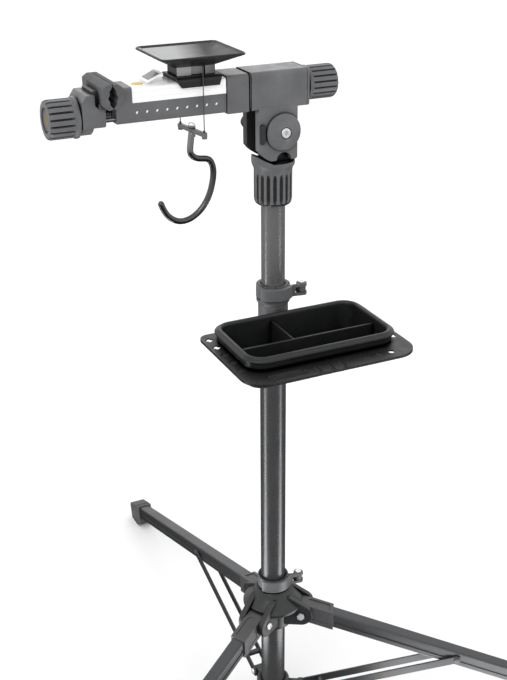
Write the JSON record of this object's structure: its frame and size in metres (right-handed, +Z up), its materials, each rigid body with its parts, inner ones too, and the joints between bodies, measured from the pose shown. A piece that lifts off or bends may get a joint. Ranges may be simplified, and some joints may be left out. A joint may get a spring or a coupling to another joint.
{
  "type": "bike repair stand",
  "caption": "Folding tripod work stand with a telescoping mast, a tool tray, a folding head and a turning clamp arm that carries a weighing dish and a hook.",
  "frame": {"origin": "centre of the stand's box, on the floor", "axes": "+Z up along the mast, the clamp arm points along -X, the tool tray faces -Y"},
  "size_m": [1.2384, 1.073, 1.169],
  "materials": {
    "charcoal_plastic": "satin, fine moulded texture",
    "black_plastic": "matt, pebbled",
    "anodised_tube": "satin anodised",
    "bare_alloy": "cast, satin",
    "bright_steel": "plated",
    "silver_cover": "fine brushed",
    "grip_rubber": "matt",
    "coated_rod": "glossy dipped coating over steel rod"
  },
  "bodies": {
    "mast": {"lower_tube": "anodised_tube", "base_hub": "charcoal_plastic", "mast_sleeve": "charcoal_plastic", "mast_clamp_band": "charcoal_plastic", "mast_qr_pin": "bright_steel", "brace_bolt_1": "bright_steel", "brace_bolt_2": "bright_steel", "brace_bolt_3": "bright_steel"},
    "mast_lever": {"mast_qr_lever": "charcoal_plastic"},
    "slider": {"slider_hub": "charcoal_plastic", "base_clamp_band": "charcoal_plastic", "base_qr_pin": "bright_steel", "leg_bolt_1": "bright_steel", "leg_bolt_2": "bright_steel", "leg_bolt_3": "bright_steel"},
    "slider_lever": {"base_qr_lever": "charcoal_plastic"},
    "leg_1": {"leg_1": "anodised_tube", "leg_bracket_1": "bare_alloy", "foot_1": "grip_rubber"},
    "leg_2": {"leg_2": "anodised_tube", "leg_bracket_2": "bare_alloy", "foot_2": "grip_rubber"},
    "leg_3": {"leg_3": "anodised_tube", "leg_bracket_3": "bare_alloy", "foot_3": "grip_rubber"},
    "brace_1": {"brace_1": "anodised_tube"},
    "brace_2": {"brace_2": "anodised_tube"},
    "brace_3": {"brace_3": "anodised_tube"},
    "upper_mast": {"upper_tube": "anodised_tube", "tube_bush": "black_plastic", "mast_fitting": "black_plastic"},
    "collar": {"fold_collar": "charcoal_plastic"},
    "head": {"head_housing": "charcoal_plastic", "pivot_cap": "charcoal_plastic", "pivot_bolt": "bright_steel"},
    "pivot_knob": {"pivot_knob": "black_plastic"},
    "button": {"release_button": "charcoal_plastic"},
    "arm": {"arm_axle": "bare_alloy", "arm_root": "charcoal_plastic", "arm_beam": "charcoal_plastic", "scale_cover": "silver_cover", "weigh_saddle": "black_plastic", "dish": "black_plastic", "fixed_jaw": "grip_rubber"},
    "lock_knob": {"arm_lock_knob": "charcoal_plastic"},
    "display": {"display": "charcoal_plastic"},
    "jaw": {"jaw_carrier": "charcoal_plastic", "moving_jaw": "grip_rubber", "guide_rod_front": "bright_steel", "guide_rod_back": "bright_steel"},
    "clamp_knob": {"clamp_knob": "charcoal_plastic", "lead_screw": "bright_steel"},
    "hanger": {"wire_front": "bright_steel", "wire_back": "bright_steel", "hook_yoke": "charcoal_plastic"},
    "hook": {"hook": "coated_rod"},
    "tray_liner": {"tray_liner": "black_plastic"},
    "tray": {"tool_tray": "black_plastic", "tray_clamp": "black_plastic"},
    "tray_knob": {"tray_knob": "black_plastic"}
  },
  "joints": [
    {"name": "slider_slide", "type": "slide", "parent": "mast", "child": "slider", "axis": [0, 0, 1], "range_m": [0, 0.3761]},
    {"name": "slider_lever_turn", "type": "hinge", "parent": "slider", "child": "slider_lever", "pos_m": [0.04, -0.18493, 0.289], "axis": [0, 0, 1], "range_deg": [0, 110]},
    {"name": "leg_1_fold", "type": "hinge", "parent": "slider", "child": "leg_1", "pos_m": [0, -0.12293, 0.232], "axis": [-1, 0, 0], "range_deg": [0, 62.05]},
    {"name": "leg_2_fold", "type": "hinge", "parent": "slider", "child": "leg_2", "pos_m": [-0.04157, -0.19493, 0.232], "axis": [0.5, -0.866, 0], "range_deg": [0, 62.05]},
    {"name": "leg_3_fold", "type": "hinge", "parent": "slider", "child": "leg_3", "pos_m": [0.04157, -0.19493, 0.232], "axis": [0.5, 0.866, 0], "range_deg": [0, 62.05]},
    {"name": "brace_1_fold", "type": "hinge", "parent": "mast", "child": "brace_1", "pos_m": [0, -0.12293, 0.06], "axis": [1, 0, 0], "range_deg": [0, 62.05]},
    {"name": "brace_2_fold", "type": "hinge", "parent": "mast", "child": "brace_2", "pos_m": [-0.04157, -0.19493, 0.06], "axis": [-0.5, 0.866, 0], "range_deg": [0, 62.05]},
    {"name": "brace_3_fold", "type": "hinge", "parent": "mast", "child": "brace_3", "pos_m": [0.04157, -0.19493, 0.06], "axis": [-0.5, -0.866, 0], "range_deg": [0, 62.05]},
    {"name": "mast_slide", "type": "slide", "parent": "mast", "child": "upper_mast", "axis": [0, 0, 1], "range_m": [0, 0.6]},
    {"name": "mast_lever_turn", "type": "hinge", "parent": "mast", "child": "mast_lever", "pos_m": [0.04, -0.18493, 0.8095], "axis": [0, 0, 1], "range_deg": [0, 110]},
    {"name": "collar_slide", "type": "slide", "parent": "upper_mast", "child": "collar", "axis": [0, 0, 1], "range_m": [-0.06, 0]},
    {"name": "head_fold", "type": "hinge", "parent": "upper_mast", "child": "head", "pos_m": [0.0025, -0.17093, 1.052], "axis": [0, -1, 0], "range_deg": [0, 35]},
    {"name": "pivot_knob_turn", "type": "hinge", "parent": "head", "child": "pivot_knob", "pos_m": [0.0025, -0.13093, 1.052], "axis": [0, 1, 0], "continuous": true},
    {"name": "button_press", "type": "slide", "parent": "head", "child": "button", "axis": [0, 1, 0], "range_m": [0, 0.0028], "stiffness_N_per_m": 800, "springref_m": -0.002},
    {"name": "arm_turn", "type": "hinge", "parent": "head", "child": "arm", "pos_m": [0, -0.17093, 1.11], "axis": [1, 0, 0], "continuous": true},
    {"name": "lock_knob_turn", "type": "hinge", "parent": "arm", "child": "lock_knob", "pos_m": [0.068, -0.17093, 1.11], "axis": [1, 0, 0], "continuous": true},
    {"name": "display_tilt", "type": "hinge", "parent": "arm", "child": "display", "pos_m": [-0.187, -0.17093, 1.1337], "axis": [0, 1, 0], "range_deg": [-30, 24]},
    {"name": "jaw_slide", "type": "slide", "parent": "arm", "child": "jaw", "axis": [-1, 0, 0], "range_m": [0, 0.045]},
    {"name": "clamp_knob_turn", "type": "hinge", "parent": "jaw", "child": "clamp_knob", "pos_m": [-0.3, -0.17093, 1.0965], "axis": [-1, 0, 0], "range_deg": [0, 1352]},
    {"name": "hanger_swing", "type": "hinge", "parent": "arm", "child": "hanger", "pos_m": [-0.121, -0.17093, 1.15322], "axis": [0, 1, 0], "range_deg": [-10, 30]},
    {"name": "hook_turn", "type": "hinge", "parent": "hanger", "child": "hook", "pos_m": [-0.121, -0.17093, 1.062], "axis": [0, 0, 1], "continuous": true},
    {"name": "tray_slide", "type": "slide", "parent": "mast", "child": "tray_liner", "axis": [0, 0, 1], "range_m": [-0.28, 0]},
    {"name": "tray_turn", "type": "hinge", "parent": "tray_liner", "child": "tray", "pos_m": [0, -0.17093, 0.725], "axis": [0, 0, 1], "continuous": true},
    {"name": "tray_knob_turn", "type": "hinge", "parent": "tray", "child": "tray_knob", "pos_m": [0, -0.12493, 0.725], "axis": [0, 1, 0], "continuous": true}
  ],
  "couplings": [
    {"joint": "leg_1_fold", "follows": "slider_slide", "rad_per_m": 2.8772},
    {"joint": "leg_2_fold", "follows": "slider_slide", "rad_per_m": 2.8772},
    {"joint": "leg_3_fold", "follows": "slider_slide", "rad_per_m": 2.8772},
    {"joint": "brace_1_fold", "follows": "slider_slide", "rad_per_m": 2.8772},
    {"joint": "brace_2_fold", "follows": "slider_slide", "rad_per_m": 2.8772},
    {"joint": "brace_3_fold", "follows": "slider_slide", "rad_per_m": 2.8772},
    {"joint": "clamp_knob_turn", "follows": "jaw_slide", "rad_per_m": 523.6}
  ]
}
